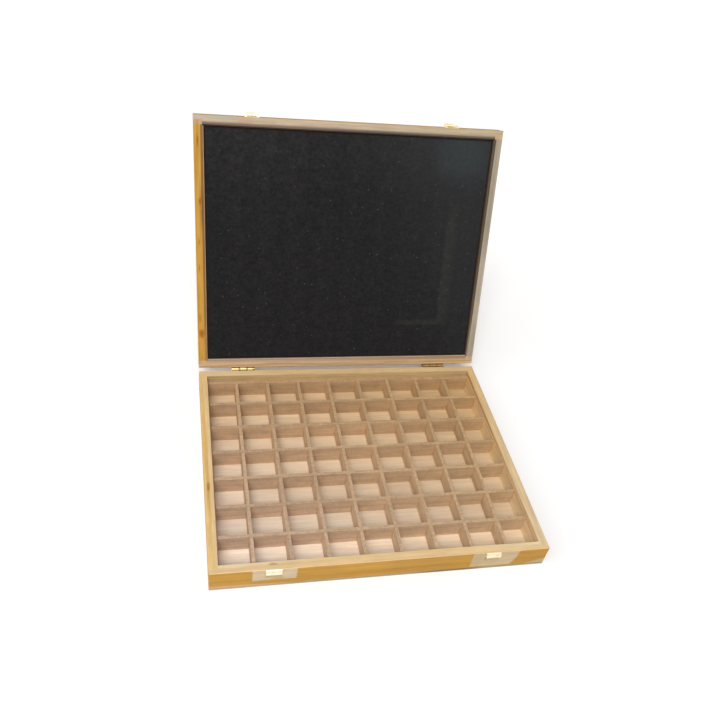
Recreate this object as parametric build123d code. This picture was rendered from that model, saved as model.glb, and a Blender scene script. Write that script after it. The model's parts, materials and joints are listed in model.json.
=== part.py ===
from build123d import *
import os
from math import cos, radians, sin

# Lidded wooden compartment case, shown with its lid standing open.
# Lengths are in millimetres. X runs along the width, Y from front to back, Z up.
# The origin is the centre of the base's underside.
# The lid is drawn shut and then swung open about the hinge line.

# Case
case_width = 300.0
case_depth = 245.5
wall = 8.0
corner_tongue = 4.0
edge_ease = 0.5
seam_gap = 0.3
open_angle = 110.0

# Base
base_wall_height = 21.0
base_panel = 2.5
base_liner = 0.8
back_filler = 4.2
divider_drop = 4.0
divider_thickness = 3.2
columns = 9
rows = 7
outer_cell_width = 26.9
outer_cell_depth = 27.9
strip_fit = 0.1
halving_fit = 0.1

# Lid
lid_wall_height = 12.0
lid_panel = 4.0
lid_panel_ease = 0.8
lid_liner = 1.0
lid_liner_drop = 1.0
foam_drop = 1.5
foam_gap = 0.25
foam_round = 1.0

# Hinges
hinge_inset = 45.5
hinge_length = 24.0
leaf_height = 8.0
leaf_thickness = 0.9
knuckle_radius = 1.7
knuckle_gap = 0.15
knuckle_end_gap = 0.25
hinge_pin_radius = 0.8
pin_clearance = 0.05
pin_end_inset = 0.2
stop_reach = 1.4
stop_gap = 0.15
stop_width_deg = 38.0
stop_clearance_deg = 2.5

# Hinge screws
screw_head_radius = 1.6
screw_head_depth = 0.7
screw_radius = 0.75
screw_length = 6.5
screw_spread = 15.0
screw_edge = 3.0
screw_slot = 0.4
screw_slot_depth = 0.35
pilot_clearance = 0.05

# Catches
catch_inset = 53.2
catch_width = 13.6
catch_plate = 0.5
keeper_top_drop = 0.3
keeper_height = 10.0
lip_height = 4.6
lip_reach = 2.2
lip_thickness = 0.6
catch_plate_margin = 1.0
catch_pivot_up = 4.0
catch_knuckle_radius = 1.1
catch_pin_radius = 0.5
lever_width = 8.4
lever_thickness = 0.55
lever_side_gap = 0.2
lever_lip_gap = 0.25
latch_clearance = 0.35
nose_plate_gap = 0.4
finger_tab = 1.3
fold_angle = 177.0

# Catch nails
nail_head_radius = 0.9
nail_head_height = 0.3
nail_radius = 0.45
nail_length = 6.0
nail_side = 1.5
nail_edge = 2.0

# Sizes that follow from the ones above
rim_z = base_panel + base_wall_height
lid_z = rim_z + seam_gap
lid_panel_z = lid_z + lid_wall_height
front_y = -case_depth / 2
back_y = case_depth / 2
inner_width = case_width - 2 * wall
inner_depth = case_depth - 2 * wall
liner_room = base_liner + strip_fit
back_room = divider_thickness + back_filler + 2 * strip_fit
grid_width = inner_width - 2 * liner_room
grid_depth = inner_depth - liner_room - back_room
grid_y = (liner_room - back_room) / 2
divider_height = base_wall_height - divider_drop
inner_cells_width = grid_width - 2 * (outer_cell_width + divider_thickness)
inner_cells_depth = grid_depth - 2 * (outer_cell_depth + divider_thickness)
cell_pitch_x = (inner_cells_width + divider_thickness) / (columns - 2)
cell_pitch_y = (inner_cells_depth + divider_thickness) / (rows - 2)
hinge_x = case_width / 2 - hinge_inset
hinge_y = back_y + knuckle_radius + knuckle_gap
hinge_z = rim_z + seam_gap / 2
knuckle_length = (hinge_length - 2 * knuckle_end_gap) / 3
catch_x = case_width / 2 - catch_inset
catch_standoff = lip_reach + lever_lip_gap + lever_thickness - catch_knuckle_radius
catch_pivot_y = front_y - catch_standoff
catch_pivot_z = lid_z + catch_pivot_up
catch_plate_height = lid_wall_height - 2 * catch_plate_margin
keeper_bottom_z = rim_z - keeper_top_drop - keeper_height
keeper_nail_z = keeper_bottom_z + nail_edge
plate_nail_z = lid_z + catch_plate_margin + catch_plate_height - nail_edge
nail_x = catch_width / 2 - nail_side

LOW = (Align.CENTER, Align.CENTER, Align.MIN)
open_lid = (
    Pos(0, hinge_y, hinge_z) * Rot(-open_angle, 0, 0) * Pos(0, -hinge_y, -hinge_z)
)
fold_lever = (
    Pos(0, catch_pivot_y, catch_pivot_z)
    * Rot(-fold_angle, 0, 0)
    * Pos(0, -catch_pivot_y, -catch_pivot_z)
)


def side_profile(outline, width):
    """Solid from an outline drawn in Y and Z, centred on X."""
    return Pos(-width / 2, 0, 0) * extrude(Plane.YZ * outline, amount=width)


def edges_at(shape, axis, **position):
    """Edges along one axis whose centres lie at the given coordinates."""
    found = shape.edges().filter_by(axis)
    for name, value in position.items():
        found = [e for e in found if abs(abs(getattr(e.center(), name)) - value) < 1e-4]
    return found


# Frames of the base and the lid

def rail(height):
    """Long rail, outer face at -Y, rebated at both ends for the side walls."""
    board = Box(case_width, wall, height, align=LOW)
    outer = [e for e in board.edges() if e.center().Y < -wall / 2 + 1e-4]
    corners = [e for e in outer if e in board.edges().filter_by(Axis.Z)]
    rim = edges_at(board, Axis.X, Y=wall / 2, Z=height)
    rim = [e for e in rim if e.center().Y < 0]
    ends = edges_at(board, Axis.Y, Z=height)
    board = chamfer(corners + rim + ends, length=edge_ease)
    rebate = wall - corner_tongue
    for side in (-1, 1):
        x = side * (case_width - wall) / 2
        board -= Pos(x, (wall - rebate) / 2, 0) * Box(wall, rebate, height, align=LOW)
    return board


def side_wall(height):
    """Short wall, outer face at -X, its ends held in the rebates of the rails."""
    length = case_depth - 2 * corner_tongue
    board = Box(wall, length, height, align=LOW)
    rim = [e for e in edges_at(board, Axis.Y, Z=height) if e.center().X < 0]
    return chamfer(rim, length=edge_ease)


def frame(height):
    """The four boards of a frame that stands on Z = 0."""
    front = Pos(0, front_y + wall / 2, 0) * rail(height)
    left = Pos(-(case_width - wall) / 2, 0, 0) * side_wall(height)
    back = Rot(0, 0, 180) * front
    right = Rot(0, 0, 180) * left
    return {"front": front, "back": back, "left": left, "right": right}


def panel(thickness):
    """Plywood sheet as large as the frame, its corners eased like the frame's."""
    sheet = Box(case_width, case_depth, thickness, align=LOW)
    return chamfer(sheet.edges().filter_by(Axis.Z), length=edge_ease)


def lid_liners(thickness, height):
    """Four thin strips round the inside of the lid's frame, standing on Z = 0."""
    long_strip = Box(inner_width - 2 * strip_fit, thickness, height, align=LOW)
    short_length = inner_depth - 2 * thickness - 4 * strip_fit
    short_strip = Box(thickness, short_length, height, align=LOW)
    y = inner_depth / 2 - strip_fit - thickness / 2
    x = inner_width / 2 - strip_fit - thickness / 2
    return {
        "front": Pos(0, -y, 0) * long_strip,
        "back": Pos(0, y, 0) * long_strip,
        "left": Pos(-x, 0, 0) * short_strip,
        "right": Pos(x, 0, 0) * short_strip,
    }


# Compartments

def grid_surround():
    """Thin strips in front of and beside the grid, a thick one and its filler behind."""
    across = inner_width - 2 * strip_fit
    front = Box(across, base_liner, divider_height, align=LOW)
    back = Box(across, divider_thickness, divider_height, align=LOW)
    filler = Box(across, back_filler, divider_height, align=LOW)
    side = Box(base_liner, grid_depth - 2 * strip_fit, divider_height, align=LOW)
    x = (grid_width + base_liner) / 2
    front_strip_y = grid_y - (grid_depth + base_liner) / 2
    back_strip_y = grid_y + (grid_depth + divider_thickness) / 2
    filler_y = (inner_depth - back_filler) / 2 - strip_fit
    return {
        "base_liner_front": Pos(0, front_strip_y, base_panel) * front,
        "base_liner_back": Pos(0, back_strip_y, base_panel) * back,
        "base_liner_left": Pos(-x, grid_y, base_panel) * side,
        "base_liner_right": Pos(x, grid_y, base_panel) * side,
        "base_filler_back": Pos(0, filler_y, base_panel) * filler,
    }


def grid_lines(count, pitch):
    """Centre lines of the dividers between a number of cells in a row."""
    return [(i - count / 2) * pitch for i in range(1, count)]


def halved_strip(length, crossings, from_top):
    """Divider along X, notched to half its height where the others cross it."""
    outline = Pos(0, divider_height / 2) * Rectangle(length, divider_height)
    depth = divider_height / 2 + halving_fit
    z = divider_height - depth / 2 if from_top else depth / 2
    for x in crossings:
        outline -= Pos(x, z) * Rectangle(divider_thickness + 2 * halving_fit, depth)
    strip = extrude(Plane.XZ * outline, amount=divider_thickness / 2, both=True)
    return strip


def dividers():
    """Long dividers open at the top, cross dividers open below, halved together."""
    pieces = {}
    across = grid_lines(columns, cell_pitch_x)
    along = grid_lines(rows, cell_pitch_y)
    long_strip = halved_strip(grid_depth - 2 * strip_fit, along, True)
    cross_strip = halved_strip(grid_width - 2 * strip_fit, across, False)
    for number, x in enumerate(across, 1):
        place = Pos(x, grid_y, base_panel) * Rot(0, 0, 90)
        pieces[f"divider_long_{number}"] = place * long_strip
    for number, y in enumerate(along, 1):
        place = Pos(0, grid_y + y, base_panel)
        pieces[f"divider_cross_{number}"] = place * cross_strip
    return pieces


# Hinges, drawn about the hinge line with the lid shut

def knuckle_spans():
    """Middle and length of the left, middle and right knuckles along X."""
    step = knuckle_length + knuckle_end_gap
    return [(-step, knuckle_length), (0.0, knuckle_length), (step, knuckle_length)]


def sector(inner, outer, start_deg, end_deg):
    """Part of a ring between two angles, less than half a turn."""
    reach = 4 * outer
    middle = radians((start_deg + end_deg) / 2)
    corners = [(0.0, 0.0)]
    for angle in (radians(start_deg), middle, radians(end_deg)):
        corners.append((reach * cos(angle), reach * sin(angle)))
    ring = Circle(outer) - Circle(inner)
    return ring & make_face(Polyline(*corners, close=True))


def hinge_leaf(spans, up):
    """One leaf with its knuckles and its stop; up is 1 for the lid's, -1 for the base's."""
    clear = knuckle_radius + knuckle_gap
    y = leaf_thickness / 2 - clear
    plate = Pos(y, up * (clear + leaf_height) / 2)
    plate *= Rectangle(leaf_thickness, leaf_height - clear)
    leaf = side_profile(plate, hinge_length)
    tongue = Pos(y, up * clear / 2) * Rectangle(leaf_thickness, clear)
    half = open_angle / 2
    first = half + (stop_clearance_deg if up > 0 else 0)
    angles = sorted((up * first, up * (half + stop_width_deg)))
    stop_outer = knuckle_radius + stop_reach
    rib = sector(knuckle_radius / 2, stop_outer, *angles)
    barrel = Circle(knuckle_radius) + tongue + rib
    for x, length in spans:
        leaf += Pos(x, 0, 0) * side_profile(barrel, length)
    leaf += side_profile(sector(knuckle_radius + stop_gap, stop_outer, *angles), hinge_length)
    leaf -= Rot(0, 90, 0) * Cylinder(hinge_pin_radius + pin_clearance, 2 * hinge_length)
    for place in screw_places(up):
        leaf -= place * screw_seat()
    return leaf


def screw_places(up):
    """Where the heads of a leaf's screws lie, seen from the hinge line."""
    y = leaf_thickness - knuckle_radius - knuckle_gap
    z = up * (leaf_height - screw_edge)
    return [Pos(x, y, z) * Rot(90, 0, 0) for x in (-screw_spread / 2, screw_spread / 2)]


def turned(points):
    """Solid turned about Z from a half outline of radius and height."""
    return revolve(Plane.XZ * make_face(Polyline(*points, close=True)), Axis.Z)


def screw_seat():
    """Countersunk hole for a screw, its head at Z = 0 and its tip along +Z."""
    head = screw_head_radius + pilot_clearance
    body = screw_radius + pilot_clearance
    end = screw_length + pilot_clearance
    return turned([(0, 0), (head, 0), (body, screw_head_depth), (body, end), (0, end)])


def hinge_screw():
    """Slotted countersunk screw, its head at Z = 0 and its tip along +Z."""
    tip = screw_radius
    points = [
        (0, 0),
        (screw_head_radius, 0),
        (screw_radius, screw_head_depth),
        (screw_radius, screw_length - tip),
        (0, screw_length),
    ]
    slot = Box(3 * screw_head_radius, screw_slot, 2 * screw_slot_depth)
    return turned(points) - slot


def hinge_screws(up):
    """The screws of both hinges on one side of the seam, and their seats."""
    screws = []
    seats = []
    for side in (-1, 1):
        for place in screw_places(up):
            place = Pos(side * hinge_x, hinge_y, hinge_z) * place
            screws.append(place * hinge_screw())
            seats.append(place * screw_seat())
    return screws, seats


def hinge_pin():
    """Plain pin through the three knuckles."""
    return Rot(0, 90, 0) * Cylinder(hinge_pin_radius, hinge_length - 2 * pin_end_inset)


# Catches, drawn latched at X = 0 with heights counted from the base's rim

def keeper():
    """Plate on the base's front with a lip that hooks outwards and down."""
    top = -keeper_top_drop
    tip = top - lip_height
    inner = lip_reach - lip_thickness
    low = top - keeper_height
    bend = top - 2 * lip_thickness
    outline = (
        Polyline((0, top), (0, low), (-catch_plate, low), (-catch_plate, bend))
        + TangentArc((-inner, tip), (-catch_plate, bend), tangent=(0, 1))
        + Line((-inner, tip), (-lip_reach, tip))
        + TangentArc((-lip_reach, tip), (0, top), tangent=(0, 1))
    )
    plate = side_profile(make_face(outline), catch_width)
    for x in (-nail_x, nail_x):
        plate -= Pos(x, 0, keeper_nail_z - rim_z) * nail_hole()
    return plate


def lever():
    """Latched lever: barrel on the pivot, strap over the lip, nose under it, finger tab."""
    pivot_z = seam_gap + catch_pivot_up
    outer = -catch_standoff - catch_knuckle_radius
    inner = outer + lever_thickness
    nose_top = -keeper_top_drop - lip_height - latch_clearance
    nose_low = nose_top - lever_thickness
    nose_in = -catch_plate - nose_plate_gap
    strap = make_face(
        Polyline(
            (outer, pivot_z),
            (-catch_standoff, pivot_z),
            (-catch_standoff, pivot_z - catch_knuckle_radius),
            (inner, pivot_z - catch_knuckle_radius),
            (inner, nose_top),
            (nose_in, nose_top),
            (nose_in, nose_low),
            (inner, nose_low),
            (inner, nose_low - finger_tab),
            (outer, nose_low - finger_tab),
            close=True,
        )
    )
    barrel = Pos(-catch_standoff, pivot_z) * Circle(catch_knuckle_radius)
    body = side_profile(strap + barrel, lever_width)
    return body - catch_bore()


def catch_bore():
    """Bore of the catch pin through knuckles and lever."""
    bore = Cylinder(catch_pin_radius + pin_clearance, 2 * catch_width)
    return Pos(0, -catch_standoff, seam_gap + catch_pivot_up) * Rot(0, 90, 0) * bore


def catch_lid_plate():
    """Plate on the lid's front with the two outer knuckles of the lever."""
    low = seam_gap + catch_plate_margin
    pivot_z = seam_gap + catch_pivot_up
    flat = Pos(-catch_plate / 2, low + catch_plate_height / 2)
    flat *= Rectangle(catch_plate, catch_plate_height)
    plate = side_profile(flat, catch_width)
    web = Pos(-catch_standoff / 2, pivot_z) * Rectangle(catch_standoff, 2 * catch_knuckle_radius)
    knuckle = web + Pos(-catch_standoff, pivot_z) * Circle(catch_knuckle_radius)
    length = (catch_width - lever_width) / 2 - lever_side_gap
    for side in (-1, 1):
        x = side * (catch_width - length) / 2
        plate += Pos(x, 0, 0) * side_profile(knuckle, length)
    plate -= catch_bore()
    for x in (-nail_x, nail_x):
        plate -= Pos(x, 0, plate_nail_z - rim_z) * nail_hole()
    return plate


def catch_pin():
    """Pin of the lever."""
    pin = Rot(0, 90, 0) * Cylinder(catch_pin_radius, catch_width - 2 * pin_end_inset)
    return Pos(0, -catch_standoff, seam_gap + catch_pivot_up) * pin


def nail():
    """Round-headed nail driven in along +Y through a catch plate."""
    top = nail_head_height
    dome = TangentArc((0, top), (nail_head_radius, 0), tangent=(1, 0))
    tip = nail_radius
    shank = Polyline(
        (nail_head_radius, 0),
        (nail_radius, 0),
        (nail_radius, -(nail_length - tip)),
        (0, -nail_length),
        (0, top),
    )
    body = revolve(Plane.XZ * make_face(dome + shank), Axis.Z)
    return Pos(0, -catch_plate, 0) * Rot(90, 0, 0) * body


def nail_hole():
    """Hole for the shank of a nail, from in front of the plate to past its tip."""
    hole = Cylinder(nail_radius + pilot_clearance, 2 * nail_length)
    return Rot(90, 0, 0) * hole


def nails(z):
    """The nails of both catches at one height, and their holes."""
    places = [Pos(side * catch_x + x, front_y, z) for side in (-1, 1) for x in (-nail_x, nail_x)]
    return [p * nail() for p in places], [p * nail_hole() for p in places]


# Sub-assemblies

def make_base():
    """Every piece that stays still."""
    pieces = {}
    boards = frame(base_wall_height)
    boards = {name: Pos(0, 0, base_panel) * board for name, board in boards.items()}
    screws, seats = hinge_screws(-1)
    tacks, holes = nails(keeper_nail_z)
    for seat in seats:
        boards["back"] -= seat
    for hole in holes:
        boards["front"] -= hole
    for name, board in boards.items():
        pieces[f"base_{name}"] = board
    pieces["base_bottom"] = panel(base_panel)
    pieces.update(grid_surround())
    pieces.update(dividers())
    spans = knuckle_spans()
    leaf = hinge_leaf([spans[0], spans[2]], -1)
    for side, label in ((-1, "left"), (1, "right")):
        place = Pos(side * hinge_x, hinge_y, hinge_z)
        pieces[f"hinge_{label}_base_leaf"] = place * leaf
        pieces[f"hinge_{label}_pin"] = place * hinge_pin()
        pieces[f"catch_{label}_keeper"] = Pos(side * catch_x, front_y, rim_z) * keeper()
    pieces["base_hinge_screws"] = Compound(screws)
    pieces["keeper_nails"] = Compound(tacks)
    return pieces


def make_lid():
    """Every piece that swings with the lid, drawn shut."""
    pieces = {}
    hung = Pos(0, 0, lid_panel_z)
    boards = frame(lid_wall_height)
    boards = {name: hung * mirror(board, about=Plane.XY) for name, board in boards.items()}
    screws, seats = hinge_screws(1)
    tacks, holes = nails(plate_nail_z)
    for seat in seats:
        boards["back"] -= seat
    for hole in holes:
        boards["front"] -= hole
    for name, board in boards.items():
        pieces[f"lid_{name}"] = board
    sheet = panel(lid_panel)
    top_edges = sheet.faces().sort_by(Axis.Z)[-1].edges()
    pieces["lid_panel"] = Pos(0, 0, lid_panel_z) * chamfer(top_edges, length=lid_panel_ease)
    strip_height = lid_wall_height - lid_liner_drop
    for name, strip in lid_liners(lid_liner, strip_height).items():
        pieces[f"lid_liner_{name}"] = Pos(0, 0, lid_panel_z - strip_height) * strip
    pieces["foam_pad"] = foam_pad()
    leaf = hinge_leaf(knuckle_spans()[1:2], 1)
    for side, label in ((-1, "left"), (1, "right")):
        pieces[f"hinge_{label}_lid_leaf"] = Pos(side * hinge_x, hinge_y, hinge_z) * leaf
        at_catch = Pos(side * catch_x, front_y, rim_z)
        pieces[f"catch_{label}_lid_plate"] = at_catch * catch_lid_plate()
        pieces[f"catch_{label}_pin"] = at_catch * catch_pin()
    pieces["lid_hinge_screws"] = Compound(screws)
    pieces["catch_plate_nails"] = Compound(tacks)
    return pieces


def foam_pad():
    """Foam sheet glued inside the lid, its open face just below the lid's rim."""
    side = lid_liner + strip_fit + foam_gap
    thickness = lid_wall_height - foam_drop - foam_gap
    pad = Box(inner_width - 2 * side, inner_depth - 2 * side, thickness, align=LOW)
    rim = pad.faces().sort_by(Axis.Z)[0].edges()
    return Pos(0, 0, lid_z + foam_drop) * fillet(rim, radius=foam_round)


def make_levers():
    """The two levers, folded back against the shut lid."""
    pieces = {}
    for side, label in ((-1, "left"), (1, "right")):
        latched = Pos(side * catch_x, front_y, rim_z) * lever()
        pieces[f"catch_{label}_lever"] = fold_lever * latched
    return pieces


def main():
    os.makedirs("parts", exist_ok=True)
    pieces = make_base()
    for name, piece in {**make_lid(), **make_levers()}.items():
        pieces[name] = open_lid * piece
    for name, piece in pieces.items():
        export_step(piece, f"parts/{name}.step")


main()
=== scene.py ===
"""Looks of the lidded compartment case: its woods, foam and brass, the light and the camera."""

import json
import math

import bpy
from mathutils import Matrix, Vector, noise

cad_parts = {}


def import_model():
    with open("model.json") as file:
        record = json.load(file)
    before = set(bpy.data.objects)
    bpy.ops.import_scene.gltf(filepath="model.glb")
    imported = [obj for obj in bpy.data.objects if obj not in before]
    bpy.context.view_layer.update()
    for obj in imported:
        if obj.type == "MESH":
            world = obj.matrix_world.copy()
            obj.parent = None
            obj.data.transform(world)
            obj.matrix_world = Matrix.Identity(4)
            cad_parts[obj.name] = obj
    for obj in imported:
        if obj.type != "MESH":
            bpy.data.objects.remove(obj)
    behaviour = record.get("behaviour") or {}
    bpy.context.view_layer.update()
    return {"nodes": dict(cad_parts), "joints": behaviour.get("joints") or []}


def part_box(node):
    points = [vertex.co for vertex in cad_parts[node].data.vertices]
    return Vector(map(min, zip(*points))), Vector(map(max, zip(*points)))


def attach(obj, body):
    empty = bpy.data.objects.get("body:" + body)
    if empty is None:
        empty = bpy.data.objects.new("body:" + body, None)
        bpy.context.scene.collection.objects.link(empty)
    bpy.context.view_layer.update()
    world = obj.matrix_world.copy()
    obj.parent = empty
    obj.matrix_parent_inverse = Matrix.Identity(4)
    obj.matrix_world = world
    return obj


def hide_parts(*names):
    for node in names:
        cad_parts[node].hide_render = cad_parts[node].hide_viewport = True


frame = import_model()
nodes = frame["nodes"]
mm_in_metre = 1000

# The lid's pieces are described as they lie with the lid shut, where its rim is level.
hinge = next(joint for joint in frame["joints"] if joint["name"] == "lid_hinge")
hinge_point = Vector(hinge["pos_m"])
shut_angle = math.radians(hinge["range_deg"][1])
shut_turn = Matrix.Rotation(shut_angle, 3, "X")


def to_shut(point):
    """Where a point of the open lid lies with the lid shut."""
    return hinge_point + shut_turn @ (point - hinge_point)


def to_open(point):
    """Where a point of the shut lid lies with the lid open."""
    return hinge_point + shut_turn.transposed() @ (point - hinge_point)


def shut_box(name):
    """Lowest and highest corner of a lid node with the lid shut, in metres."""
    points = [to_shut(vertex.co) for vertex in nodes[name].data.vertices]
    low = Vector([min(point[i] for point in points) for i in range(3)])
    high = Vector([max(point[i] for point in points) for i in range(3)])
    return low, high


def in_mm(corners):
    """A box's corners, from metres to millimetres."""
    return [tuple(mm_in_metre * value for value in corner) for corner in corners]


# The frame's own places, in millimetres. Each material finds its faces by them.
front_low, front_high = in_mm(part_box("base_front"))
half_width = -in_mm(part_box("base_left"))[0][0]
half_depth = -front_low[1]
base_rim = front_high[2]
wall = front_high[1] + half_depth
inner_x = half_width - wall
inner_y = half_depth - wall
floor_top = in_mm(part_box("base_bottom"))[1][2]
grid_top = in_mm(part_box("base_liner_left"))[1][2]
lid_rim = in_mm(shut_box("lid_front"))[0][2]
panel_low, panel_high = in_mm(shut_box("lid_panel"))
pin_low, pin_high = in_mm(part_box("hinge_right_pin"))
hinge_x = (pin_low[0] + pin_high[0]) / 2


def tone(red, green, blue):
    """An everyday colour, 0 to 255, as the linear colour that a node takes."""

    def linear(value):
        value /= 255
        return value / 12.92 if value <= 0.04045 else ((value + 0.055) / 1.055) ** 2.4

    return linear(red), linear(green), linear(blue), 1


def feed(tree, socket, value):
    """Links a socket to another node's output, or sets its own value."""
    if isinstance(value, bpy.types.NodeSocket):
        tree.links.new(value, socket)
    elif socket.type == "VECTOR":
        socket.default_value = value[:3]
    else:
        socket.default_value = value


def add_node(tree, kind, inputs=None, **settings):
    """A new shader node with its settings and inputs. An input goes by its name or its place."""
    made = tree.nodes.new("ShaderNode" + kind)
    for key, value in settings.items():
        setattr(made, key, value)
    for key, value in (inputs or {}).items():
        feed(tree, made.inputs[key], value)
    return made


class Graph:
    """A material and its node graph. Places in it are in millimetres; a lid piece's as if shut."""

    def __init__(self, name, shut=False):
        self.material = bpy.data.materials.new(name)
        self.material.use_nodes = True
        self.tree = self.material.node_tree
        self.shader = self.tree.nodes["Principled BSDF"]
        place = self.node("TexCoord").outputs["Object"]
        scale = (mm_in_metre, mm_in_metre, mm_in_metre)
        mapping = self.node("Mapping", {"Vector": place, "Scale": scale})
        if shut:
            mapping.inputs["Rotation"].default_value = (shut_angle, 0, 0)
            mapping.inputs["Location"].default_value = to_shut(Vector()) * mm_in_metre
        self.point = mapping.outputs[0]
        self.x, self.y, self.z = self.node("SeparateXYZ", {0: self.point}).outputs

    def node(self, kind, inputs=None, **settings):
        return add_node(self.tree, kind, inputs, **settings)

    def set(self, **values):
        """Feeds the shader's own sockets, named in small letters with _ for a space."""
        sockets = {socket.name.lower().replace(" ", "_"): socket for socket in self.shader.inputs}
        for key, value in values.items():
            feed(self.tree, sockets[key], value)

    def bump(self, height, distance):
        """Bends the surface's normal by a height, over a distance in metres."""
        inputs = {"Strength": 1.0, "Distance": distance, "Height": height}
        self.set(normal=self.node("Bump", inputs).outputs[0])

    def math(self, operation, a, b=0.0):
        return self.node("Math", {0: a, 1: b}, operation=operation).outputs[0]

    def vectors(self, operation, a, b):
        return self.node("VectorMath", {0: a, 1: b}, operation=operation).outputs[0]

    def add(self, a, b):
        return self.math("ADD", a, b)

    def less(self, a, b):
        return self.math("SUBTRACT", a, b)

    def times(self, a, b):
        return self.math("MULTIPLY", a, b)

    def larger(self, a, b):
        return self.math("MAXIMUM", a, b)

    def apart(self, value):
        """How far from 0."""
        return self.math("ABSOLUTE", value)

    def swing(self, field, reach):
        """A noise from 0 to 1, moved to lie around 0 and made as wide as a reach."""
        return self.times(self.less(field, 0.5), reach)

    def both(self, *masks):
        """The masks' product. One of them can be a plain strength."""
        result = masks[0]
        for mask in masks[1:]:
            result = self.times(result, mask)
        return result

    def fade(self, value, start, end):
        """0 at start and 1 at end, with a soft step between them."""
        inputs = {0: value, 1: start, 2: end}
        return self.node("MapRange", inputs, interpolation_type="SMOOTHSTEP").outputs[0]

    def ramp(self, value, start, end):
        """0 at start and 1 at end, with a straight line between them."""
        return self.node("MapRange", {0: value, 1: start, 2: end}).outputs[0]

    def band(self, value, start, full_from, full_to, end):
        """0 before start and past end, 1 between the two in the middle, with soft steps."""
        return self.both(self.fade(value, start, full_from), self.fade(value, end, full_to))

    def spot(self, centre, reach, ragged=0.0):
        """1 at a centre to 0 at its reach along each axis. ragged is how uneven its outline is."""
        scales = tuple(1 / value for value in reach)
        off = self.vectors("MULTIPLY", self.vectors("SUBTRACT", self.point, centre), scales)
        distance = self.node("VectorMath", {0: off}, operation="LENGTH").outputs["Value"]
        if ragged:
            wave = self.noise(self.stretch(tuple(2.5 * scale for scale in scales)), 3)
            distance = self.add(distance, self.swing(wave, ragged))
        return self.fade(distance, 1.0, 0.25)

    def stretch(self, scales, shift=0.0):
        """The place, scaled by axis and shifted, for a drawn-out noise."""
        moved = self.vectors("MULTIPLY", self.point, scales)
        return self.vectors("ADD", moved, (shift, shift * 0.7, shift * 1.3))

    def even(self, scale, shift=0.0):
        """The place, scaled alike along every axis and shifted, for a noise with no direction."""
        return self.stretch((scale, scale, scale), shift)

    def noise(self, vector, detail=2.0, rough=0.5):
        inputs = {"Vector": vector, "Scale": 1.0, "Detail": detail, "Roughness": rough}
        return self.node("TexNoise", inputs).outputs[0]

    def line_noise(self, value, detail):
        """A noise of one value alone."""
        inputs = {"W": value, "Scale": 1.0, "Detail": detail, "Roughness": 0.5}
        return self.node("TexNoise", inputs, noise_dimensions="1D").outputs[0]

    def cells(self, vector):
        """How far it is to the nearest of many scattered points."""
        return self.node("TexVoronoi", {"Vector": vector, "Scale": 1.0}).outputs["Distance"]

    def mix(self, share, a, b):
        return self.node("Mix", {0: share, 6: a, 7: b}, data_type="RGBA").outputs[2]

    def paint(self, colour, coat, *masks):
        """The colour with another one over it, as strong as the masks' product."""
        return self.mix(self.both(*masks), colour, coat)

    def shaded(self, colour, amount):
        """The colour, made lighter or darker by a factor."""
        return self.node("VectorMath", {0: colour, "Scale": amount}, operation="SCALE").outputs[0]

    def lit(self, colour, share, *masks):
        """The colour, lighter by a share where the masks are 1, or darker for a share below 0."""
        return self.shaded(colour, self.add(1.0, self.both(*masks, share)))

    def varied(self, colour, *swings):
        """The colour, lighter and darker by noises. Each swing is a noise and its reach."""
        amount = 1.0
        for field, reach in swings:
            amount = self.add(amount, self.swing(field, reach))
        return self.shaded(colour, amount)

    def tinted(self, colour, factors, *masks):
        """The colour with its red, green and blue each times a factor, where the masks are 1."""
        made = self.vectors("MULTIPLY", colour, factors)
        return self.paint(colour, made, *masks) if masks else made

    def over_case(self, back_left, back_right, front_left, front_right):
        """A colour that drifts over the case from corner to corner."""
        across = self.ramp(self.x, -inner_x, inner_x)
        along = self.ramp(self.y, -inner_y, inner_y)
        front = self.mix(across, front_left, front_right)
        return self.mix(along, front, self.mix(across, back_left, back_right))


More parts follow.
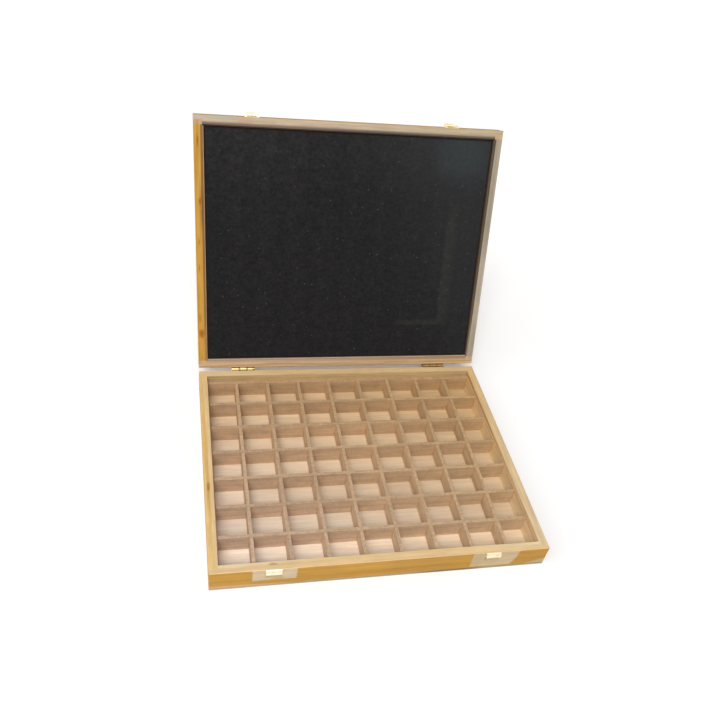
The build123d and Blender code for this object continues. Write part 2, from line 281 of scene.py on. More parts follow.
class Grain:
    """The fields of sawn wood that runs along an axis, from a heart line at (across, up).

    ring is the year rings' width and sway how far they wave, in millimetres.
    """

    def __init__(self, g, run, heart, ring, seed, sway=9.0):
        self.g = g
        self.run = run
        self.seed = seed
        across = g.y if run == "x" else g.x
        wave = g.swing(self.field(0.006, 0.02), sway)
        ripple = g.swing(self.field(0.03, 0.12), sway * 0.18)
        side = g.add(g.less(across, heart[0]), g.add(wave, ripple))
        rise = g.less(g.z, heart[1])
        radius = g.math("SQRT", g.add(g.times(side, side), g.times(rise, rise)))
        years = g.add(g.math("DIVIDE", radius, ring), seed)
        self.rings = g.fade(g.line_noise(years, 1), 0.34, 0.68)
        self.lines = g.fade(g.line_noise(g.times(years, 2.1), 2), 0.52, 0.74)
        self.fibres = self.field(0.045, 2.6, 3, 0.6)
        self.streaks = self.field(0.012, 0.5, 3, 0.55)
        self.clouds = self.field(0.011, 0.045)
        self.flecks = g.fade(self.field(0.16, 2.2), 0.61, 0.7)
        self.patchwork = self.field(0.07, 0.16, 3)

    def field(self, lengthwise, crosswise, detail=2.0, rough=0.5):
        """A noise drawn out along the grain. The larger a scale is, the finer the noise that way."""
        scales = [crosswise, crosswise, crosswise]
        scales[0 if self.run == "x" else 1] = lengthwise
        return self.g.noise(self.g.stretch(tuple(scales), self.seed), detail, rough)

    def colour(
        self,
        pale,
        deep,
        dark,
        figure=0.7,
        flecks=0.35,
        clouds=0.16,
        fibres=0.16,
        drawn=0.2,
        patches=0.12,
    ):
        """The wood's colour: pale and deep by the rings, dark at late-wood lines and flecks.

        The last six values say how strongly each field shows.
        """
        g = self.g
        share = g.add(g.times(self.rings, 0.6), g.times(self.streaks, 0.4))
        made = g.mix(g.fade(share, 0.15, 0.8), pale, deep)
        made = g.paint(made, dark, self.lines, 0.5 * figure)
        made = g.paint(made, dark, self.flecks, flecks)
        return g.varied(
            made,
            (self.clouds, 2 * clouds),
            (self.fibres, 2 * fibres),
            (self.field(0.03, 0.42), 2 * drawn),
            (self.patchwork, 2 * patches),
        )

    def around(self, base, spread, **strengths):
        """The wood's colour, a little lighter and darker than a base colour."""
        pale = self.g.shaded(base, 1 + spread)
        deep = self.g.shaded(base, 1 - spread)
        return self.colour(pale, deep, self.g.shaded(base, 1 - 3 * spread), **strengths)

    def finish(self, colour, rough, relief, coat=0.0):
        """Sends the colour, a roughness and a grain relief to the shader."""
        g = self.g
        g.set(base_color=colour, coat_weight=coat, coat_roughness=0.25, specular_ior_level=0.3)
        change = g.add(g.swing(self.fibres, 0.3), g.times(self.flecks, 0.1))
        g.set(roughness=g.add(change, rough))
        height = g.add(g.times(self.fibres, 0.6), g.times(self.lines, 0.25))
        g.bump(g.less(height, g.times(self.flecks, 0.5)), relief)
        return g.material


# Colours that more than one face has, as they look in plain light.
lacquer = tone(184, 136, 44)
inner_wood = tone(199, 171, 124)


def outside_wood(grain, base=lacquer):
    """Lacquered wood, as on the case's sides, its back and the lid's frame."""
    return grain.around(base, 0.12, figure=0.45, flecks=0.2, clouds=0.12)


def rim_mask(g):
    """1 on the base's level top edge."""
    return g.fade(g.z, base_rim - 0.55, base_rim - 0.15)


def lid_rim_mask(g):
    """1 on the lid's rim, which faces the viewer while the lid is open."""
    return g.fade(g.z, lid_rim + 0.55, lid_rim + 0.15)


def outside_mask(g):
    """1 on the outer faces."""
    side = g.fade(g.apart(g.x), half_width - 0.7, half_width - 0.3)
    end = g.fade(g.apart(g.y), half_depth - 0.7, half_depth - 0.3)
    return g.larger(side, end)


def by_face(g, inner, outer, rim):
    """A base board's colour: one inside, one outside and one on its top edge."""
    return g.mix(rim_mask(g), g.mix(outside_mask(g), inner, outer), rim)


def bare_patch(g, left, right, bottom, rounding=0.0):
    """A place on the front face with no lacquer, where a catch was fitted.

    The rounding draws its right side in, more and more towards the bottom.
    """
    wave = g.swing(g.noise(g.even(0.5, 4.0), 3), 1.2)
    x = g.add(g.x, wave)
    z = g.add(g.z, wave)
    depth = g.less(base_rim, g.z)
    drawn_in = g.times(g.times(depth, depth), rounding)
    left_side = g.fade(x, left - 0.6, left + 0.6)
    right_side = g.fade(g.add(x, drawn_in), right + 1.0, right - 1.0)
    return g.both(left_side, right_side, g.fade(z, bottom - 0.7, bottom + 0.7))


def patch_wood(g, grain):
    """The wood of both bare patches: tanner in the right one, with painted shade under the left catch
    and darker marks round the right one.
    """
    made = grain.around(tone(198, 178, 145), 0.05, figure=0.2, flecks=0.2, clouds=0.05)
    tanner = grain.around(tone(189, 165, 127), 0.05, figure=0.2)
    made = g.paint(made, tanner, g.fade(g.x, -20, 20))
    # Painted shade below the left catch: the wood there is painted darker brown.
    shade_under_left_catch = g.spot((-93, -half_depth, 10.5), (9, 4, 4.5), ragged=0.3)
    made = g.paint(made, tone(184, 152, 96), shade_under_left_catch, 0.85)
    smudge = g.band(g.x, 40, 70, 84, 92)
    made = g.paint(made, tone(168, 140, 104), smudge, 0.5)
    round_right = g.spot((96, -half_depth, 12), (12, 4, 10), ragged=0.4)
    return g.paint(made, tone(170, 152, 112), round_right, 0.5)


def front_lacquer(g, grain):
    """Broad soft streaks, darker and more orange along the lower half, partly as painted shade, and a
    raw line at the very bottom.
    """
    made = grain.around(lacquer, 0.1, figure=0.3, flecks=0.08, clouds=0.1, fibres=0.07)
    # The lower half is darker and more orange: partly the lacquer's own tone, partly painted shade.
    tilted_height = g.add(g.z, g.times(g.x, 0.035))
    lower_half = g.both(g.fade(tilted_height, 14.5, 10.0), g.fade(g.x, -128, -100))
    made = g.tinted(made, (0.945, 0.925, 0.72), lower_half)
    right_half = g.fade(g.x, -20, 20)
    right_end = g.fade(g.x, 0, 110)
    made = g.tinted(g.lit(made, -0.1, right_half), (1.0, 0.97, 0.62), right_end)
    drift = g.swing(g.noise(g.even(0.03, 9.0), 2), 3)
    right_rise = g.times(g.fade(g.x, 128, 150), 5.5)
    left_rise = g.times(g.fade(g.x, -70, -140), 2.0)
    raw_height = 2.6
    line = g.add(g.add(raw_height, drift), g.add(right_rise, left_rise))
    raw = g.mix(g.fade(g.x, -60, 110), tone(202, 166, 132), tone(176, 158, 124))
    raw = grain.around(raw, 0.07, figure=0.3)
    raw = g.paint(raw, tone(132, 110, 78), g.band(g.x, 20, 50, 75, 100), 0.7)
    return g.paint(made, raw, g.fade(g.less(g.z, line), 0.7, -0.7), 0.85)


def front_board():
    """The front board: two bare patches in its lacquer, and a pale rim with one knot."""
    g = Graph("front_board")
    grain = Grain(g, "x", heart=(-55, -60), ring=6.0, seed=3.0, sway=16.0)
    left = bare_patch(g, left=-114.4, right=-77.3, bottom=8.9)
    right = bare_patch(g, left=78.3, right=121.5, bottom=3.6, rounding=0.013)
    outer = g.paint(front_lacquer(g, grain), patch_wood(g, grain), g.larger(left, right))
    rim = g.mix(g.fade(g.apart(g.x), 60, 110), tone(221, 191, 138), tone(227, 202, 159))
    rim = g.mix(g.fade(g.y, 2 - half_depth, 6 - half_depth), tone(220, 187, 138), rim)
    rim = grain.around(rim, 0.06, figure=0.25, flecks=0.1, clouds=0.07)
    inner = grain.around(inner_wood, 0.07, figure=0.3)
    made = by_face(g, inner, outer, rim)
    knot = g.spot((-97.3, -117.2, base_rim), (5.5, 1.8, 3), ragged=0.9)
    made = g.paint(made, tone(160, 118, 86), knot, 0.6)
    return grain.finish(made, rough=0.5, relief=0.00005, coat=0.05)


def back_board():
    """The back board, with a rim that is paler at its left end."""
    g = Graph("back_board")
    grain = Grain(g, "x", heart=(62, -50), ring=4.5, seed=11.0, sway=12.0)
    rim = g.mix(g.fade(g.x, -120, -60), tone(208, 181, 138), tone(199, 169, 122))
    rim = grain.around(rim, 0.06, figure=0.3, flecks=0.12, clouds=0.06)
    inner = grain.around(inner_wood, 0.07, figure=0.4, flecks=0.15)
    made = by_face(g, inner, outside_wood(grain), rim)
    return grain.finish(made, rough=0.52, relief=0.00006, coat=0.05)


def left_rim(g, grain):
    """The left side's rim: an outer and an inner half of two tones, with a darker stripe."""
    from_edge = g.add(g.add(g.x, half_width), g.swing(grain.clouds, 4))
    outer_half = g.mix(g.fade(g.y, 20, 80), tone(213, 176, 117), tone(210, 175, 121))
    outer_half = g.mix(g.fade(g.y, -80, -40), tone(222, 187, 126), outer_half)
    inner_half = g.mix(g.fade(g.y, -10, 40), tone(224, 191, 143), tone(219, 186, 134))
    made = g.mix(g.fade(from_edge, 4.2, 5.4), outer_half, inner_half)
    stripe = g.both(g.band(from_edge, 1.4, 2.2, 3.6, 4.8), g.band(g.y, -90, -20, 50, 90))
    made = g.paint(made, tone(202, 163, 92), stripe, 0.85)
    return grain.around(made, 0.05, figure=0.2, flecks=0.1, clouds=0.08)


def side_board():
    """Both side boards: the left rim is two-toned and has a knot, the right one darkens backwards."""
    g = Graph("side_board")
    grain = Grain(g, "y", heart=(-88, -42), ring=4.5, seed=21.0, sway=12.0)
    right_rim = g.mix(g.ramp(g.y, -110, 110), tone(214, 188, 148), tone(200, 168, 118))
    right_rim = grain.around(right_rim, 0.06, figure=0.3, flecks=0.1, clouds=0.07)
    rim = g.mix(g.fade(g.x, 1.0, -1.0), right_rim, left_rim(g, grain))
    inner = g.mix(g.ramp(g.y, -110, 110), tone(226, 198, 155), tone(182, 139, 84))
    inner = grain.around(inner, 0.1, figure=0.5, clouds=0.14)
    made = by_face(g, inner, outside_wood(grain), rim)
    knot = g.spot((-146.4, -31.9, base_rim), (2.0, 9, 4), ragged=0.9)
    made = g.paint(made, tone(150, 102, 42), knot, 0.7)
    return grain.finish(made, rough=0.52, relief=0.00006, coat=0.05)


def lid_stile(name, side, base, foam_gap_shade, brown=0.0, knots=()):
    """The lid frame's board at the left (side -1) or at the right (side 1).

    foam_gap_shade holds the factors that darken it along the foam, as painted shade in the gap there;
    brown is the strength of a stain, and each knot is its x, y, length, width and strength.
    """
    g = Graph(name, shut=True)
    grain = Grain(g, "y", heart=(side * 92, 92), ring=4.2, seed=33.0 + side, sway=12.0)
    from_edge = g.less(g.less(half_width, g.apart(g.x)), g.swing(grain.clouds, 1.2))
    rim = grain.around(base, 0.09, figure=0.4, flecks=0.1, clouds=0.12)
    rim = g.lit(rim, 0.16, g.fade(g.y, -60, -110))
    if side > 0:
        lift = g.less(g.times(g.fade(g.y, -30, 20), 0.23), g.times(g.fade(g.y, 60, 85), 0.1))
        rim = g.shaded(rim, g.add(0.87, lift))
    else:
        outer_half = g.tinted(rim, (1.02, 1.01, 0.84))
        inner_half = g.tinted(rim, (0.93, 0.94, 1.05))
        rim = g.mix(g.fade(from_edge, 2.0, 4.2), outer_half, inner_half)
    # Painted shade: the board is darkened along the foam, where the gap between frame and foam lies in
    # shade.
    strength = g.less(0.92, g.times(g.fade(g.y, 65, 95), 0.5))
    shade_along_foam = g.fade(from_edge, wall - 2.0, wall - 1.2)
    rim = g.paint(rim, g.tinted(base, foam_gap_shade), shade_along_foam, strength)
    waved_y = g.add(g.apart(g.y), g.swing(grain.patchwork, 2))
    corner = g.fade(waved_y, inner_y - 1.0, inner_y + 0.8)
    rim = g.paint(rim, grain.around(tone(184, 154, 118), 0.09, figure=0.4), corner)
    if brown:
        stain = g.spot((side * 143.9, -40, lid_rim), (2.8, 30, 5), ragged=0.3)
        rim = g.lit(rim, -brown, stain)
    made = g.mix(lid_rim_mask(g), outside_wood(grain), rim)
    for x, y, length, width, dark in knots:
        mark = g.spot((x, y, lid_rim), (width, length, 4), ragged=0.6)
        made = g.paint(made, tone(150, 86, 14), mark, dark)
    return grain.finish(made, rough=0.45, relief=0.00006, coat=0.08)


def lid_rail_front():
    """The rail at the open lid's top edge: raw and beige, with flecks and old stains, and painted
    shade along the foam.
    """
    g = Graph("lid_rail_front", shut=True)
    grain = Grain(g, "x", heart=(-70, 84), ring=2.6, seed=41.0)
    raw = g.mix(g.ramp(g.x, -140, 140), tone(185, 165, 141), tone(171, 154, 124))
    raw = grain.around(raw, 0.09, figure=0.5, flecks=0.45, clouds=0.08)
    pink = g.spot((-103, -120, lid_rim), (14, 6, 6), ragged=0.5)
    raw = g.paint(raw, tone(190, 146, 128), pink, 0.55)
    green = g.spot((-128, -122, lid_rim), (26, 8, 8), ragged=0.4)
    raw = g.paint(raw, tone(150, 170, 160), g.fade(g.y, -119.6, -121.0), green, 0.5)
    # Painted shade: a near-black band along the foam, where the gap lies in shade.
    shade_along_foam = g.fade(g.add(g.y, half_depth), wall - 3.6, wall - 0.8)
    raw = g.paint(raw, tone(57, 53, 55), shade_along_foam, 0.85)
    streak = g.fade(grain.field(0.02, 0.55, 3), 0.5, 0.62)
    inner_left = g.both(g.fade(g.x, 30, -50), g.fade(g.y, -120.5, -118))
    raw = g.paint(raw, tone(132, 98, 78), streak, inner_left, 0.5)
    made = g.mix(lid_rim_mask(g), outside_wood(grain, tone(170, 131, 66)), raw)
    return grain.finish(made, rough=0.6, relief=0.00009, coat=0.03)


def lid_rail_back():
    """The rail along the hinges: streaked brown, with a pinkish-grey upper band."""
    g = Graph("lid_rail_back", shut=True)
    grain = Grain(g, "x", heart=(92, 70), ring=2.0, seed=52.0)
    raw = g.mix(g.ramp(g.x, -140, 140), tone(189, 157, 120), tone(196, 165, 122))
    raw = grain.around(raw, 0.13, figure=0.75, flecks=0.5, clouds=0.12)
    raw = g.lit(raw, -0.09, g.band(g.x, -90, -30, 30, 80))
    streak = g.fade(grain.field(0.007, 0.55), 0.5, 0.66)
    lower = g.both(g.fade(g.x, -110, -50), g.fade(g.y, inner_y + 0.9, inner_y + 2.2))
    raw = g.paint(raw, tone(136, 98, 62), streak, lower, 0.55)
    upper = g.fade(g.y, inner_y + 3.6, inner_y + 1.4)
    strength = g.add(0.6, g.times(g.fade(g.x, -60, 60), 0.3))
    upper_wood = g.mix(g.ramp(g.x, -40, 120), tone(167, 146, 128), tone(147, 120, 86))
    raw = g.paint(raw, upper_wood, upper, strength)
    made = g.mix(g.fade(g.y, half_depth - 0.7, half_depth - 0.3), raw, outside_wood(grain))
    return grain.finish(made, rough=0.6, relief=0.00009, coat=0.03)


def plies(g, low, high, pale, dark):
    """The layers that a plywood edge shows, with glue lines between them."""
    layers = 3
    level = g.math("DIVIDE", g.less(g.z, low), (high - low) / layers)
    other_layer = g.fade(g.apart(g.less(g.math("FRACT", g.times(level, 0.5)), 0.5)), 0.2, 0.3)
    made = g.mix(other_layer, pale, dark)
    glue = g.fade(g.apart(g.less(g.math("FRACT", level), 0.5)), 0.46, 0.5)
    return g.paint(made, tone(110, 78, 50), glue, 0.5)


def lid_panel():
    """The lid's outer panel: lacquered plywood with a broad figure."""
    g = Graph("lid_panel", shut=True)
    grain = Grain(g, "x", heart=(0, -160), ring=3.4, seed=61.0, sway=34.0)
    pale = tone(217, 170, 92)
    deep = tone(201, 147, 66)
    face = grain.colour(pale, deep, dark=tone(172, 114, 44), figure=0.55, clouds=0.12)
    edge = plies(g, panel_low[2], panel_high[2], tone(214, 172, 104), tone(168, 118, 62))
    edge = g.varied(edge, (grain.fibres, 0.4))
    made = g.mix(outside_mask(g), face, edge)
    return grain.finish(made, rough=0.42, relief=0.00006, coat=0.3)


def floor_ply():
    """The plywood bottom: pale in the compartments, tan at the back, paler and pinker to the front
    left and lighter along the front row, partly as painted light.
    """
    g = Graph("floor_ply")
    grain = Grain(g, "x", heart=(0, -240), ring=7.0, seed=71.0, sway=30.0)
    # The corners' tones are partly the plywood's own and partly painted light: paler to the left and
    # the front left.
    made = g.over_case(
        back_left=tone(216, 191, 155),
        back_right=tone(190, 160, 115),
        front_left=tone(232, 219, 204),
        front_right=tone(215, 194, 166),
    )
    # Painted light: the front row of compartments is painted lighter.
    made = g.lit(made, 0.15, g.fade(g.y, -80, -90))
    dim_row = g.both(g.band(g.y, -52, -45, -22, -15), g.band(g.x, -125, -80, 40, 95))
    made = g.tinted(made, (0.9, 0.89, 0.87), dim_row)
    quiet = {"clouds": 0.06, "fibres": 0.07, "drawn": 0.16, "patches": 0.08}
    made = grain.around(made, 0.05, figure=0.3, flecks=0.2, **quiet)
    patches = g.noise(g.stretch((0.02, 0.1, 0.1), 12.0), 2)
    made = g.tinted(made, (1.02, 0.96, 0.94), g.fade(patches, 0.45, 0.75))
    underside = g.fade(g.z, 0.5, 0.1)
    made = g.paint(made, tone(186, 152, 112), underside, 0.5)
    edge = g.mix(g.fade(g.x, -110, -60), tone(196, 161, 128), tone(170, 154, 126))
    edge = g.paint(edge, tone(128, 108, 78), g.band(g.x, 20, 50, 75, 100))
    edge = g.paint(edge, tone(162, 147, 108), g.fade(g.x, 95, 112))
    edge = plies(g, 0, floor_top, edge, g.shaded(edge, 0.72))
    made = g.mix(outside_mask(g), made, edge)
    return grain.finish(made, rough=0.62, relief=0.00005)


def grid_tone(g):
    """The dividers' colour: tan at the back, pinker towards the front left."""
    return g.over_case(
        back_left=tone(190, 156, 120),
        back_right=tone(184, 150, 106),
        front_left=tone(202, 173, 149),
        front_right=tone(199, 169, 134),
    )


def strip_grain(g, run, seed):
    """The grain of a thin strip, cut far from the heart."""
    return Grain(g, run, heart=(-170, -60), ring=4.0, seed=seed, sway=10.0)


def strip_wood(name, run, seed, base=None, shut=False, light=(1.0, 1.0)):
    """A thin sawn strip. One without a base colour is in the grid, and takes its place's colour.

    light scales the walls and the top edge of such a strip, partly as the board's own tone and partly
    as painted light and shade.
    """
    g = Graph(name, shut=shut)
    grain = strip_grain(g, run, seed)
    cut = g.noise(g.stretch((0.13, 0.13, 0.1), seed), 2)
    wear_and_sheen = g.noise(g.even(0.4, seed + 5), 2, 0.6)
    made = grain.around(base or grid_tone(g), 0.06)
    made = g.tinted(made, (1.01, 0.98, 0.94), g.fade(cut, 0.5, 0.7))
    made = g.varied(made, (cut, 0.24), (wear_and_sheen, 0.3))
    if base is None:
        walls, top = light
        # Painted light and shade: the long dividers' walls are painted lighter and the top edges
        # darker, and walls and top are scaled by light.
        wall_painted_light = (1.07, 1.09, 1.1) if run == "y" else (1.0, 1.0, 1.01)
        shaded_top_edge = g.shaded(g.tinted(made, (0.87, 0.855, 0.82)), top)
        shaded_top_edge = g.varied(shaded_top_edge, (wear_and_sheen, 0.5))
        made = g.shaded(g.tinted(made, wall_painted_light), walls)
        made = g.paint(made, shaded_top_edge, g.fade(g.z, grid_top - 0.3, grid_top - 0.1))
    return grain.finish(made, rough=0.62, relief=0.00007)


def lining_right():
    """The right wall of the last compartments: brown along its top, with painted light and shadow
    lower down: a pale lit wedge in each compartment, darker above it.
    """
    g = Graph("lining_right")
    grain = strip_grain(g, "y", 101.0)
    pale = g.mix(g.ramp(g.y, -110, 110), tone(235, 211, 172), tone(230, 197, 146))
    # Painted light and shadow: in each compartment a paler lit wedge, darker above its sloping line.
    lit_wedge_spacing = 32.6
    lit_wedge_rise = 9.0
    step = g.math("FRACT", g.math("DIVIDE", g.add(g.y, inner_y), lit_wedge_spacing))
    shade_above_lit_wedge = g.add(g.times(step, lit_wedge_rise), g.less(g.z, 15.0))
    made = g.tinted(pale, (0.92, 0.87, 0.8), g.fade(shade_above_lit_wedge, -1.5, 3.0))
    made = g.paint(made, tone(194, 154, 106), g.fade(g.z, 17.5, 19.0))
    return grain.finish(grain.around(made, 0.06), rough=0.62, relief=0.00007)


def foam_mark(g):
    """A faint mark on the foam's right half: an upright line, and one that runs left from its foot."""
    upright = g.both(g.band(g.x, 101, 104.5, 108, 118), g.band(g.y, -70, -20, 75, 78))
    level = g.both(g.band(g.y, 70.5, 73, 76, 79), g.band(g.x, 56, 66, 108, 114))
    return g.larger(upright, level)


def foam():
    """Black open-cell foam: mottled and dusty, lighter towards its top, with painted sheen that greys
    it to the right and tints it teal at the top right.
    """
    g = Graph("foam", shut=True)
    mottle = g.noise(g.even(0.16), 3, 0.6)
    fine = g.noise(g.even(1.1, 3.0), 4, 0.7)
    made = g.mix(mottle, tone(20, 19, 20), tone(31, 30, 31))
    hue = g.node("TexNoise", {"Vector": g.even(0.22, 8.0), "Scale": 1.0, "Detail": 2.0})
    made = g.paint(made, g.shaded(hue.outputs["Color"], 0.04), 0.06)
    made = g.varied(made, (fine, 1.3))
    made = g.varied(made, (g.noise(g.even(0.75, 6.0), 2, 0.7), 1.0))
    coarse = g.noise(g.even(0.3, 21.0), 2)
    broad = g.noise(g.even(0.11, 27.0), 2)
    made = g.varied(made, (coarse, 1.5), (broad, 0.9))
    stripe_width = 29
    waved = g.add(g.times(g.x, math.tau / stripe_width), g.times(mottle, 1.4))
    made = g.lit(made, 0.06, g.math("SINE", waved))
    # Painted sheen: greyer towards the right and the top right.
    sheen_to_the_right = g.fade(g.add(g.x, g.times(g.y, -0.5)), 20, 170)
    made = g.paint(made, tone(54, 55, 56), sheen_to_the_right, 0.28)
    made = g.lit(made, 0.33, g.fade(g.y, -40, -115))
    made = g.lit(made, 0.17, g.spot((-105, -85, lid_rim), (95, 85, 60)))
    lint = g.fade(g.cells(g.even(0.13, 2.0)), 0.1, 0.04)
    made = g.paint(made, tone(118, 118, 118), lint, g.noise(g.even(0.55, 15.0), 0), 0.6)
    # Painted sheen: a teal-grey spot at the top right.
    wear_and_sheen = g.spot((112, -98, lid_rim), (40, 36, 60), ragged=0.5)
    made = g.paint(made, tone(60, 72, 74), wear_and_sheen, 0.24)
    made = g.paint(made, tone(56, 60, 50), foam_mark(g), mottle, 0.52)
    side_gap = g.less(g.apart(g.x), inner_x - 2.6)
    end_gap = g.less(g.apart(g.y), inner_y - 2.6)
    border = g.fade(g.larger(side_gap, end_gap), -1.2, 0.6)
    made = g.paint(made, tone(34, 18, 8), border, 0.7)
    g.set(base_color=made, roughness=0.95, specular_ior_level=0.15)
    g.set(sheen_weight=0.04, sheen_roughness=0.6)
    pores = g.cells(g.even(1.3, 5.0))
    g.bump(g.add(g.times(pores, 0.7), g.times(fine, 0.6)), 0.0005)
    return g.material


def brass():
    """Bright brass, duller on the hinges, and brown and less metallic on the keepers' plates under
    their lips, partly for a dull plate and partly as painted shade.
    """
    g = Graph("brass")
    clouds = g.noise(g.even(0.22), 3)
    fine = g.noise(g.even(3.0, 7.0), 3)
    made = g.mix(g.fade(clouds, 0.4, 0.75), tone(252, 242, 212), tone(240, 220, 168))
    hinges = g.both(g.fade(g.y, 105, 112), g.fade(g.z, 45, 40))
    made = g.paint(made, tone(214, 188, 134), hinges)
    from_middle = g.apart(g.less(g.apart(g.x), hinge_x))
    knuckle_gap = g.fade(g.apart(g.less(from_middle, 4.0)), 1.1, 0.5)
    made = g.paint(made, tone(112, 88, 54), knuckle_gap, hinges, 0.8)
    dull = tone(142, 112, 72)
    made = g.paint(made, dull, hinges, g.fade(g.x, 60, 80), 0.85)
    left_hinge_end = g.band(g.x, 9 - hinge_x, 10 - hinge_x, -10, 0)
    made = g.paint(made, dull, hinges, left_hinge_end, 0.7)
    # Under the keepers' lips the plates are painted brown and less metallic: partly their own duller
    # finish, partly painted shade below the lips.
    under_lip = g.fade(g.z, base_rim - 4.4, base_rim - 5.2)
    plate = g.both(under_lip, g.band(g.y, -half_depth - 1.6, -half_depth - 1.2, -10, 0))
    made = g.paint(made, tone(168, 142, 92), plate, 0.85)
    made = g.varied(made, (fine, 0.12))
    g.set(base_color=made, metallic=g.less(1.0, g.times(plate, 0.5)))
    rough = g.add(g.add(0.24, g.times(clouds, 0.16)), g.times(fine, 0.08))
    g.set(roughness=g.add(rough, g.times(plate, 0.3)))
    g.bump(g.add(clouds, g.times(fine, 0.3)), 0.00004)
    return g.material


def pin_metal():
    """The drawn wire of the hinges' and catches' pins."""
    g = Graph("pin_metal")
    fine = g.noise(g.even(2.0, 1.0), 3)
    g.set(base_color=g.mix(fine, tone(214, 194, 148), tone(178, 156, 110)), metallic=1.0)
    g.set(roughness=g.add(0.28, g.times(fine, 0.14)))
    g.bump(fine, 0.00003)
    return g.material


def named(*parts):
    """The nodes whose names hold one of the parts."""
    return [name for name in nodes if any(part in name for part in parts)]


def dress(material, *names):
    """Gives nodes their material."""
    for name in names:
        nodes[name].data.materials.clear()
        nodes[name].data.materials.append(material)


def soften(width, *names):
    """A fine rounding of the sawn edges, as a modifier over the CAD mesh."""
    for name in names:
        weld = nodes[name].modifiers.new("weld", "WELD")
        weld.merge_threshold = 0.000005
        bevel = nodes[name].modifiers.new("edges", "BEVEL")
        bevel.width = width
        bevel.segments = 2
        bevel.limit_method = "ANGLE"
        bevel.angle_limit = math.radians(35)


def dress_base():
    """The base's boards and bottom, and the linings and filler round the grid."""
    dress(front_board(), "base_front")
    dress(back_board(), "base_back")
    dress(side_board(), "base_left", "base_right")
    dress(floor_ply(), "base_bottom")
    dress(strip_wood("lining_left", "y", seed=83.0), "base_liner_left")
    dress(lining_right(), "base_liner_right")
    across = strip_wood("linings_across", "x", seed=111.0, light=(1.0, 1.01))
    dress(across, "base_liner_front", "base_liner_back")
    filler = strip_wood("filler", "x", seed=141.0, base=tone(167, 135, 95))
    dress(filler, "base_filler_back")


# Each divider is a board of its own: how light its walls and its top edge are, beside the others'.
# These are partly the boards' own tones and partly painted light and shade.
long_boards = [
    (0.86, 1.02),
    (0.96, 0.95),
    (1.0, 1.0),
    (1.0, 0.97),
    (1.02, 1.07),
    (1.04, 1.04),
    (1.0, 0.96),
    (1.02, 0.98),
]
cross_boards = [
    (0.91, 1.07),
    (0.93, 0.98),
    (0.9, 1.06),
    (0.95, 1.0),
    (0.99, 0.95),
    (0.97, 1.01),
]


def dress_dividers():
    """The long dividers from left to right, and the cross dividers from front to back."""
    for kind, run, boards in (("long", "y", long_boards), ("cross", "x", cross_boards)):
        names = sorted(named("divider_" + kind))
        for count, (name, light) in enumerate(zip(names, boards), 1):
            seed = 81.0 + 7.0 * count
            dress(strip_wood(f"board_{kind}_{count}", run, seed, light=light), name)


# Each knot of the lid's left stile: its x, y, length, width and strength.
left_knots = [
    (-146.4, -100.4, 7.0, 1.3, 0.9),
    (-145.0, -46.5, 5.5, 2.2, 1.0),
    (-146.7, -7.8, 4.0, 1.3, 0.55),
    (-147.3, 17.6, 6.0, 1.5, 0.55),
    (-147.6, 68.6, 7.0, 2.0, 0.5),
    (-146.2, 85.0, 7.0, 4.2, 0.9),
]


def dress_lid():
    """The lid's frame and panel, and the linings round the foam."""
    dress(lid_rail_front(), "lid_front")
    dress(lid_rail_back(), "lid_back")
    dress(lid_panel(), "lid_panel")
    orange = tone(186, 137, 52)
    # Painted shade along the foam: the factors that darken each stile's inner edge, brownish at the
    # left and nearly black at the right.
    left_foam_gap_shade = (0.4, 0.4, 0.56)
    left = lid_stile("lid_stile_left", -1, orange, left_foam_gap_shade, brown=0.36, knots=left_knots)
    dress(left, "lid_left")
    grey = tone(155, 143, 124)
    right_foam_gap_shade = (0.12, 0.12, 0.12)
    dress(lid_stile("lid_stile_right", 1, grey, right_foam_gap_shade), "lid_right")
    # The front and right linings are painted nearly black, as painted shade along the foam; the left
    # and back ones keep their wood colours.
    for side, run, seed, colour in (
        ("left", "y", 121.0, tone(178, 146, 116)),
        ("back", "x", 131.0, tone(184, 156, 132)),
        ("front", "x", 136.0, tone(62, 50, 42)),
        ("right", "y", 126.0, tone(70, 60, 50)),
    ):
        dress(strip_wood("lid_lining_" + side, run, seed, colour, shut=True), "lid_liner_" + side)


def placed(name, data):
    """A new object in the scene."""
    made = bpy.data.objects.new(name, data)
    bpy.context.scene.collection.objects.link(made)
    return made


def closed_sheet(xs, ys, height, back):
    """Points and faces of a sheet: an uneven face, straight sides and a flat back."""
    wide = len(xs)
    tall = len(ys)
    points = [Vector((x, y, height(x, y))) for y in ys for x in xs]
    faces = []
    for row in range(tall - 1):
        for column in range(wide - 1):
            corner = row * wide + column
            faces.append((corner, corner + wide, corner + wide + 1, corner + 1))
    border = list(range(wide)) + [row * wide + wide - 1 for row in range(1, tall)]
    border += [(tall - 1) * wide + column for column in range(wide - 2, -1, -1)]
    border += [row * wide for row in range(tall - 2, 0, -1)]
    first = len(points)
    points += [Vector((points[i].x, points[i].y, back)) for i in border]
    for i in range(len(border)):
        after = (i + 1) % len(border)
        faces.append((border[i], border[after], first + after, first + i))
    faces.append(tuple(range(first, first + len(border))))
    return points, faces


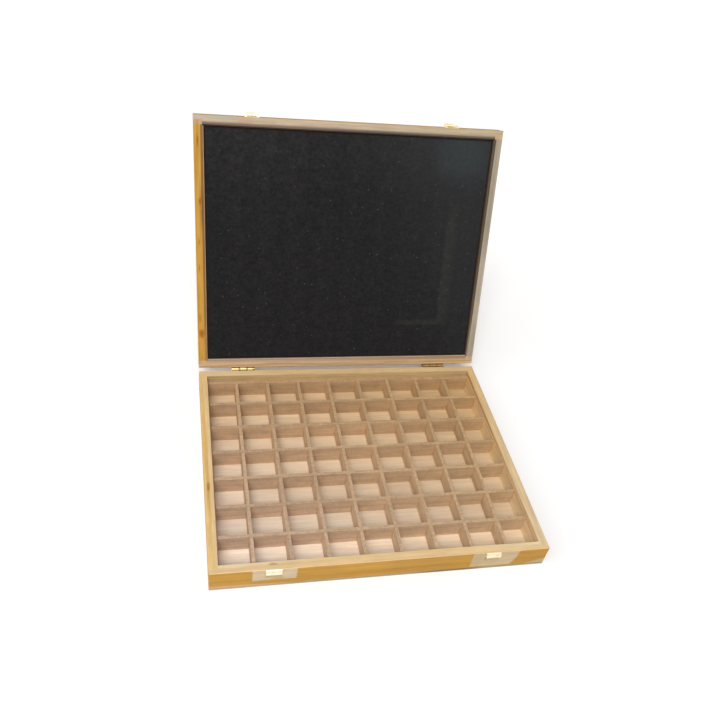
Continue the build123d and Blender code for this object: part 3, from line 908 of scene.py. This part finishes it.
def foam_pad():
    """The foam: a closed soft-edged sheet with a slightly uneven face, in the CAD solid's place.

    Its lengths are in metres, as the frame's are.
    """
    low, high = shut_box("foam_pad")
    soft_edge = 0.0022
    deepest_fall = 0.0016
    level_from = 0.006
    settled = 0.00018
    swell = 0.00014
    ripple = 0.00005
    swells_in_metre = 22
    ripples_in_metre = 150
    mesh_step = 0.003

    def marks(start, end):
        """Where the mesh's lines run: close together along both edges, even between them."""
        length = end - start
        inner_length = length - 2 * soft_edge
        count = round(inner_length / mesh_step)
        near = [0, 0.0002, 0.0006, 0.0012, soft_edge]
        inner = [soft_edge + inner_length * i / count for i in range(1, count)]
        far = [length - value for value in reversed(near)]
        return [start + value for value in near + inner + far]

    def sunk(gap):
        """How far the face falls back near an edge."""
        if gap >= soft_edge:
            return 0.0
        return 0.45 * (soft_edge - math.sqrt(soft_edge**2 - (soft_edge - gap) ** 2))

    def height(x, y):
        """The face's height: it falls back at the edges, and is gently uneven further in."""
        side_gap = min(x - low.x, high.x - x)
        end_gap = min(y - low.y, high.y - y)
        fall = min(sunk(side_gap) + sunk(end_gap), deepest_fall)
        inside = min(1.0, min(side_gap, end_gap) / level_from)
        slow = noise.noise(Vector((x * swells_in_metre, y * swells_in_metre, 1.3)))
        quick = noise.noise(Vector((x * ripples_in_metre, y * ripples_in_metre, 7.1)))
        return low.z + fall + inside * (settled + swell * slow + ripple * quick)

    points, faces = closed_sheet(marks(low.x, high.x), marks(low.y, high.y), height, high.z)
    mesh = bpy.data.meshes.new("foam_sheet")
    mesh.from_pydata([to_open(point) for point in points], [], faces)
    mesh.shade_smooth()
    mesh.materials.append(foam())
    pad = placed("foam_sheet", mesh)
    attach(pad, "lid")
    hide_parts("foam_pad")


def floor():
    """A wide round floor, white and matt, just below the case's underside."""
    radius = 6
    drop = 0.0002
    corners = 96
    angles = [math.tau * i / corners for i in range(corners)]
    rim = [(radius * math.cos(angle), radius * math.sin(angle), -drop) for angle in angles]
    mesh = bpy.data.meshes.new("studio_floor")
    mesh.from_pydata(rim, [], [tuple(range(corners))])
    g = Graph("studio_floor")
    cloud = g.noise(g.even(0.01), 2)
    g.set(base_color=g.mix(cloud, tone(254, 254, 254), tone(255, 255, 255)))
    g.set(roughness=0.9, specular_ior_level=0.0)
    mesh.materials.append(g.material)
    made = placed("studio_floor", mesh)


def world(ambient, mirrored):
    """Even light from all around, which the camera sees as plain white.

    ambient is its strength as light. Metal mirrors it stronger: as it is for a mirrored of 0, and as
    plain white for 1.
    """
    made = bpy.data.worlds.new("studio")
    bpy.context.scene.world = made
    made.use_nodes = True
    tree = made.node_tree
    tree.nodes.clear()
    rays = add_node(tree, "LightPath").outputs
    glossy = add_node(tree, "Math", {0: rays["Is Glossy Ray"], 1: mirrored}, operation="MULTIPLY")
    levels = {0: rays["Is Camera Ray"], 1: glossy.outputs[0]}
    seen = add_node(tree, "Math", levels, operation="MAXIMUM")
    span = {"Value": seen.outputs[0], "To Min": ambient, "To Max": 1.0}
    strength = add_node(tree, "MapRange", span).outputs[0]
    background = add_node(tree, "Background", {"Color": (1, 1, 1, 1), "Strength": strength})
    add_node(tree, "OutputWorld", {0: background.outputs[0]})


def lamp(name, place, spread, strength):
    """Soft light from one side, as strong all over the floor. The spread is in degrees."""
    data = bpy.data.lights.new(name, "SUN")
    data.angle = math.radians(spread)
    data.energy = strength
    placed(name, data).rotation_euler = Vector(place).to_track_quat("Z", "Y").to_euler()


# The photograph's camera, solved from the corners of the base, the lid and the grid.
photo_width = 720
focal_pixels = 742.777
centre_column = 353.337
centre_row = 406.664
camera_place = (-0.161814, -0.461671, 0.548565)
camera_yaw = math.radians(17.4328)
camera_pitch = math.radians(43.6283)
camera_roll = math.radians(10.4743)


def camera():
    """The photograph's view: its place, its turn, and a small shift of the frame."""
    reach = math.cos(camera_pitch)
    drop = math.sin(camera_pitch)
    ahead = Vector((math.sin(camera_yaw) * reach, math.cos(camera_yaw) * reach, -drop))
    level = Vector((math.cos(camera_yaw), -math.sin(camera_yaw), 0))
    upright = level.cross(ahead)
    right = math.cos(camera_roll) * level + math.sin(camera_roll) * upright
    up = math.cos(camera_roll) * upright - math.sin(camera_roll) * level
    data = bpy.data.cameras.new("camera")
    data.sensor_width = 36
    data.lens = focal_pixels / photo_width * data.sensor_width
    data.shift_x = (photo_width / 2 - centre_column) / photo_width
    data.shift_y = (centre_row - photo_width / 2) / photo_width
    data.clip_start = 0.02
    data.clip_end = 50
    made = placed("camera", data)
    turn = Matrix((right, up, -ahead)).transposed().to_4x4()
    made.matrix_world = Matrix.Translation(camera_place) @ turn
    bpy.context.scene.camera = made


dress_base()
dress_dividers()
dress_lid()
dress(brass(), *named("leaf", "keeper", "lever", "screws", "nails", "lid_plate"))
dress(pin_metal(), *named("_pin"))
soften(0.0002, *named("divider", "liner"), "base_filler_back")
foam_pad()
floor()
world(ambient=0.31, mirrored=0.73)
lamp("key", place=(-0.22, -0.64, 0.92), spread=34, strength=2.35)
lamp("fill", place=(-1.3, -0.3, 0.9), spread=60, strength=0.85)
camera()
bpy.context.scene.view_settings.view_transform = "Standard"
